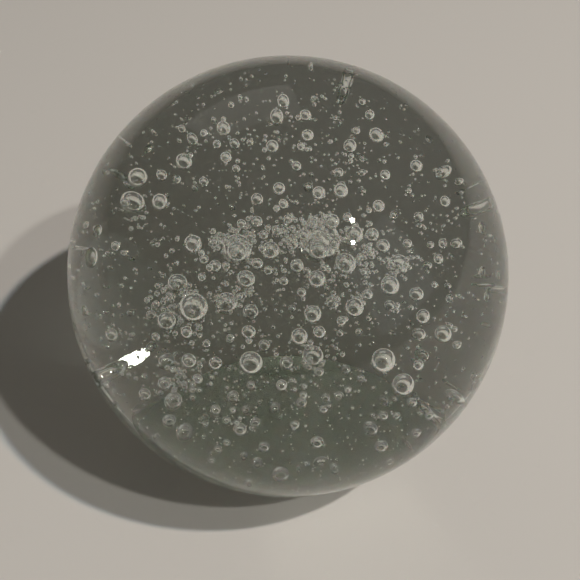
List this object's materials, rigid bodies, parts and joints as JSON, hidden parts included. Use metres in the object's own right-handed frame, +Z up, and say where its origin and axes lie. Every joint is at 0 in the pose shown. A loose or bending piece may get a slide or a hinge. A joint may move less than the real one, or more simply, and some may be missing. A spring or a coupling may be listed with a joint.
{
  "type": "paperweight",
  "caption": "Clear, faintly green solid glass ball filled with trapped air bubbles of many sizes, standing on a flat foot cut into its underside.",
  "frame": {"origin": "centre of the flat ground foot, on the plane the ball stands on", "axes": "+Z up, along the axis of the foot through the ball's centre; -Y is the front, from which the bubble pattern is arranged; +X to the right seen from the front"},
  "size_m": [0.08, 0.08, 0.074],
  "materials": {
    "glass": "polished clear glass with a faint grey-green tint",
    "trapped_air": "air pocket with a bright fire-polished wall"
  },
  "bodies": {
    "root": {"glass_ball": "glass", "middle_bubbles": "trapped_air", "large_bubbles": "trapped_air", "medium_bubbles": "trapped_air", "lesser_bubbles": "trapped_air", "heaped_bubbles": "trapped_air", "small_bubbles": "trapped_air", "fine_bubbles": "trapped_air", "skin_bubbles": "trapped_air", "front_bubble": "trapped_air"}
  },
  "joints": []
}
